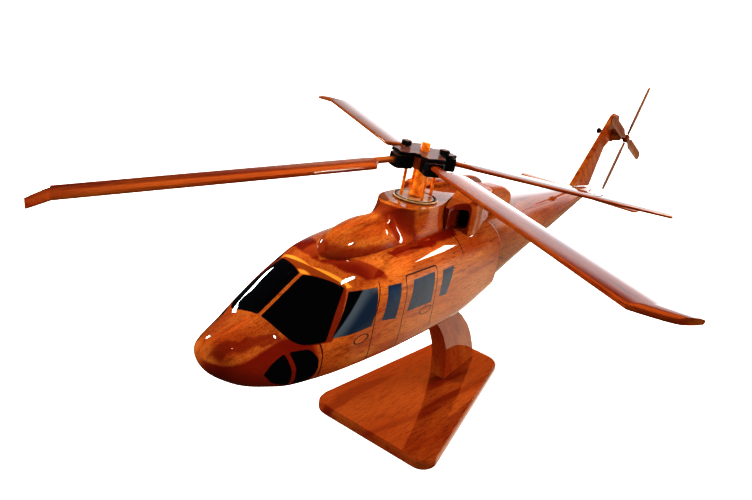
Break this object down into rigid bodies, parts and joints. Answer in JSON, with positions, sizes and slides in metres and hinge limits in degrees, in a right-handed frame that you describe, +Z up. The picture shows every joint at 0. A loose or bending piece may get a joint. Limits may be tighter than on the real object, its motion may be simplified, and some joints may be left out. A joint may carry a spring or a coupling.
{
  "type": "helicopter scale model",
  "caption": "Lacquered wooden desk model of a military utility helicopter with turning main and tail rotors, lifting off a dowel on an arm and tapered base plate.",
  "frame": {"origin": "centre of the base plate's underside", "axes": "+Z up; +Y along the fuselage towards the tail, the nose points along -Y; +X is the side the tail rotor is on"},
  "size_m": [0.2662, 0.4167, 0.1614],
  "materials": {
    "mahogany": "clear high-gloss lacquer over straight-grained red-brown mahogany",
    "mahogany_dark": "dark red stained mahogany, gloss lacquer",
    "black_paint": "satin black paint",
    "cream_paint": "cream enamel, semi-gloss",
    "copper_rod": "polished copper-coloured rod",
    "steel": "plain steel"
  },
  "bodies": {
    "stand": {"arm_screw_front": "steel", "arm_screw_rear": "steel", "base_plate": "mahogany", "stand_arm": "mahogany", "stand_peg": "mahogany_dark"},
    "helicopter": {"cabin_body": "mahogany", "collar_ring": "cream_paint", "collar_seal": "black_paint", "engine_cowl_port": "mahogany", "engine_cowl_starboard": "mahogany", "exhaust_fairing_port": "mahogany", "exhaust_fairing_starboard": "mahogany", "intake_port": "black_paint", "intake_starboard": "black_paint", "rotor_pylon": "mahogany", "stabilator_port": "mahogany", "stabilator_starboard": "mahogany", "tail_boom": "mahogany", "tail_fin": "mahogany", "tail_gearbox_port": "mahogany_dark", "tail_gearbox_starboard": "mahogany_dark"},
    "main_rotor": {"blade_grip_1": "black_paint", "blade_grip_2": "black_paint", "blade_grip_3": "black_paint", "blade_grip_4": "black_paint", "head_stud_a": "black_paint", "head_stud_b": "black_paint", "hub_core": "mahogany_dark", "hub_star": "black_paint", "main_blade_1": "mahogany", "main_blade_2": "mahogany", "main_blade_3": "mahogany", "main_blade_4": "mahogany", "pitch_rod_1": "copper_rod", "pitch_rod_2": "copper_rod", "pitch_rod_3": "copper_rod", "pitch_rod_4": "copper_rod", "rotor_mast": "copper_rod", "swash_plate": "cream_paint"},
    "tail_rotor": {"tail_axle": "steel", "tail_blade_1": "mahogany", "tail_blade_2": "mahogany", "tail_blade_3": "mahogany", "tail_blade_4": "mahogany", "tail_hub": "mahogany_dark", "tail_retainer": "black_paint"}
  },
  "joints": [
    {"name": "lift_off", "type": "slide", "parent": "stand", "child": "helicopter", "axis": [0, 0, 1], "range_m": [0, 0.03]},
    {"name": "main_rotor_spin", "type": "hinge", "parent": "helicopter", "child": "main_rotor", "pos_m": [0, -0.0342, 0.1417], "axis": [0, 0.134, 0.991], "continuous": true},
    {"name": "tail_rotor_spin", "type": "hinge", "parent": "helicopter", "child": "tail_rotor", "pos_m": [0.0104, 0.20658, 0.10672], "axis": [0.9976, -0.0691, 0.0093], "continuous": true}
  ]
}
